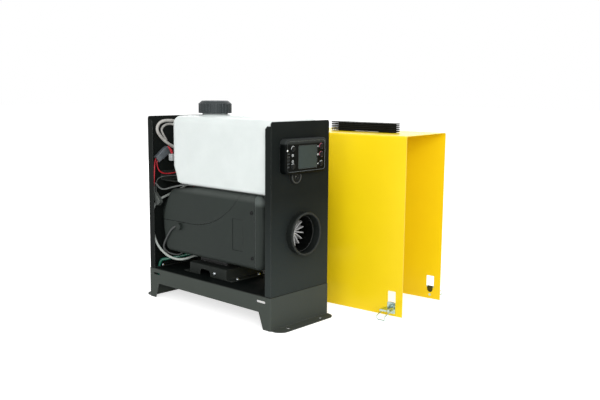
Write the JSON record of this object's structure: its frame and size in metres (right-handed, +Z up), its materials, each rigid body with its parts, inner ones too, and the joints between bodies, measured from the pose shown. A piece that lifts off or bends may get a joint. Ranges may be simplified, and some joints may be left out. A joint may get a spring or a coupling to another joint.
{
  "type": "portable diesel air heater",
  "caption": "Portable diesel air heater on a black frame with white fuel tank, its yellow folded cover with toggle latches standing beside it.",
  "frame": {"origin": "on the floor, at the centre of the four foot holes", "axes": "+X to the front panel with the outlet, +Y towards the cover, +Z up"},
  "size_m": [0.5121, 0.4448, 0.419],
  "materials": {
    "frame_black": "satin powder coat",
    "screw_steel": "bright zinc plate",
    "black_rubber": "matt",
    "casing_plastic": "fine grained moulding",
    "cast_aluminium": "as cast",
    "burner_steel": "plain stainless",
    "motor_housing": "as cast",
    "wheel_plastic": "moulded",
    "board_box": "moulded",
    "bracket_black": "satin powder coat",
    "collar_plastic": "moulded",
    "tank_white": "blow moulded, slightly translucent",
    "outlet_brass": "turned",
    "cap_black": "moulded",
    "controller_plastic": "smooth moulding",
    "screen_glass": "glossy dark pane",
    "button_plastic": "soft moulding",
    "pump_steel": "zinc plated",
    "filter_plastic": "milky moulding",
    "hose_white": "nylon tube",
    "hose_green": "translucent tube",
    "sleeve_grey": "extruded sleeve",
    "wire_red": "insulated wire",
    "wire_grey": "insulated lead",
    "plug_dark": "moulded",
    "connector_white": "nylon",
    "cover_yellow": "glossy powder coat",
    "grip_black": "matt moulding",
    "latch_zinc": "bright zinc plate"
  },
  "bodies": {
    "heater": {"base_tray": "frame_black", "blower_housing": "motor_housing", "burner_tube": "burner_steel", "casing_front_ring": "casing_plastic", "casing_lower": "casing_plastic", "casing_upper": "casing_plastic", "control_unit": "board_box", "controller_case": "controller_plastic", "controller_screen": "screen_glass", "drip_hose": "hose_green", "exhaust_stub": "burner_steel", "foot_gasket": "black_rubber", "foot_nuts": "screw_steel", "front_panel": "frame_black", "fuel_filter": "filter_plastic", "fuel_hoses": "hose_white", "fuel_pump": "pump_steel", "fuel_tank": "tank_white", "fuse_holder": "plug_dark", "glow_plug": "screw_steel", "grey_leads": "wire_grey", "harness_sleeves": "sleeve_grey", "heat_exchanger": "cast_aluminium", "heater_bracket": "bracket_black", "inlet_grille": "casing_plastic", "intake_stub": "burner_steel", "lead_plug": "plug_dark", "loom_connector": "connector_white", "outlet_collar": "collar_plastic", "outlet_nozzle": "casing_plastic", "pan_screws": "screw_steel", "panel_grommets": "black_rubber", "pump_clamp": "black_rubber", "rear_panel": "frame_black", "red_leads": "wire_red", "tank_outlet": "outlet_brass", "tank_shelf": "frame_black"},
    "cover": {"cover_shell": "cover_yellow", "cover_grip": "grip_black", "grip_screws": "screw_steel", "latch_bases": "latch_zinc", "latch_pins": "latch_zinc"},
    "rotor": {"blower_shaft": "screw_steel", "fan_wheel": "wheel_plastic", "burner_air_wheel": "wheel_plastic"},
    "cap_carrier": {"cap_seal": "black_rubber"},
    "filler_cap": {"tank_cap": "cap_black"},
    "lever_front_near": {"lever_front_near": "latch_zinc"},
    "bail_front_near": {"bail_front_near": "latch_zinc"},
    "lever_rear_near": {"lever_rear_near": "latch_zinc"},
    "bail_rear_near": {"bail_rear_near": "latch_zinc"},
    "lever_front_far": {"lever_front_far": "latch_zinc"},
    "bail_front_far": {"bail_front_far": "latch_zinc"},
    "lever_rear_far": {"lever_rear_far": "latch_zinc"},
    "bail_rear_far": {"bail_rear_far": "latch_zinc"},
    "button_left_lower": {"button_left_lower": "button_plastic"},
    "button_left_upper": {"button_left_upper": "button_plastic"},
    "button_right_lower": {"button_right_lower": "button_plastic"},
    "button_right_middle": {"button_right_middle": "button_plastic"},
    "button_right_upper": {"button_right_upper": "button_plastic"}
  },
  "joints": [
    {"name": "cover_lift", "type": "slide", "parent": "heater", "child": "cover", "axis": [0, 0, 1], "range_m": [0, 0.4]},
    {"name": "rotor_spin", "type": "hinge", "parent": "heater", "child": "rotor", "pos_m": [0, 0, 0.175], "axis": [1, 0, 0], "continuous": true},
    {"name": "cap_rise", "type": "slide", "parent": "heater", "child": "cap_carrier", "axis": [0, 0, 1], "range_m": [0, 0.018]},
    {"name": "cap_turn", "type": "hinge", "parent": "cap_carrier", "child": "filler_cap", "pos_m": [-0.059, 0, 0.419], "axis": [0, 0, 1], "range_deg": [0, 1080]},
    {"name": "lever_front_near_swing", "type": "hinge", "parent": "cover", "child": "lever_front_near", "pos_m": [0.28379, 0.15029, 0.016], "axis": [-0.996, -0.0889, 0], "range_deg": [-20, 90]},
    {"name": "bail_front_near_swing", "type": "hinge", "parent": "lever_front_near", "child": "bail_front_near", "pos_m": [0.28415, 0.14631, 0.016], "axis": [-0.996, -0.0889, 0], "range_deg": [-166.81, 37.11]},
    {"name": "lever_rear_near_swing", "type": "hinge", "parent": "cover", "child": "lever_rear_near", "pos_m": [-0.02598, 0.12265, 0.016], "axis": [-0.996, -0.0889, 0], "range_deg": [-20, 90]},
    {"name": "bail_rear_near_swing", "type": "hinge", "parent": "lever_rear_near", "child": "bail_rear_near", "pos_m": [-0.02562, 0.11866, 0.016], "axis": [-0.996, -0.0889, 0], "range_deg": [-166.81, 37.11]},
    {"name": "lever_front_far_swing", "type": "hinge", "parent": "cover", "child": "lever_front_far", "pos_m": [0.26802, 0.32699, 0.016], "axis": [0.996, 0.0889, 0], "range_deg": [-20, 90]},
    {"name": "bail_front_far_swing", "type": "hinge", "parent": "lever_front_far", "child": "bail_front_far", "pos_m": [0.26766, 0.33098, 0.016], "axis": [0.996, 0.0889, 0], "range_deg": [-166.81, 37.11]},
    {"name": "lever_rear_far_swing", "type": "hinge", "parent": "cover", "child": "lever_rear_far", "pos_m": [-0.04175, 0.29935, 0.016], "axis": [0.996, 0.0889, 0], "range_deg": [-20, 90]},
    {"name": "bail_rear_far_swing", "type": "hinge", "parent": "lever_rear_far", "child": "bail_rear_far", "pos_m": [-0.0421, 0.30333, 0.016], "axis": [0.996, 0.0889, 0], "range_deg": [-166.81, 37.11]},
    {"name": "button_left_upper_press", "type": "slide", "parent": "heater", "child": "button_left_upper", "axis": [-1, 0, 0], "range_m": [0, 0.0007], "stiffness_N_per_m": 600},
    {"name": "button_left_lower_press", "type": "slide", "parent": "heater", "child": "button_left_lower", "axis": [-1, 0, 0], "range_m": [0, 0.0007], "stiffness_N_per_m": 600},
    {"name": "button_right_upper_press", "type": "slide", "parent": "heater", "child": "button_right_upper", "axis": [-1, 0, 0], "range_m": [0, 0.0007], "stiffness_N_per_m": 600},
    {"name": "button_right_middle_press", "type": "slide", "parent": "heater", "child": "button_right_middle", "axis": [-1, 0, 0], "range_m": [0, 0.0007], "stiffness_N_per_m": 600},
    {"name": "button_right_lower_press", "type": "slide", "parent": "heater", "child": "button_right_lower", "axis": [-1, 0, 0], "range_m": [0, 0.0007], "stiffness_N_per_m": 600}
  ],
  "couplings": [
    {"joint": "cap_rise", "follows": "cap_turn", "m_per_rad": 0.00095483},
    {"joint": "bail_front_near_swing", "follows": "lever_front_near_swing", "ratio": -1.8529},
    {"joint": "bail_rear_near_swing", "follows": "lever_rear_near_swing", "ratio": -1.8529},
    {"joint": "bail_front_far_swing", "follows": "lever_front_far_swing", "ratio": -1.8529},
    {"joint": "bail_rear_far_swing", "follows": "lever_rear_far_swing", "ratio": -1.8529}
  ]
}
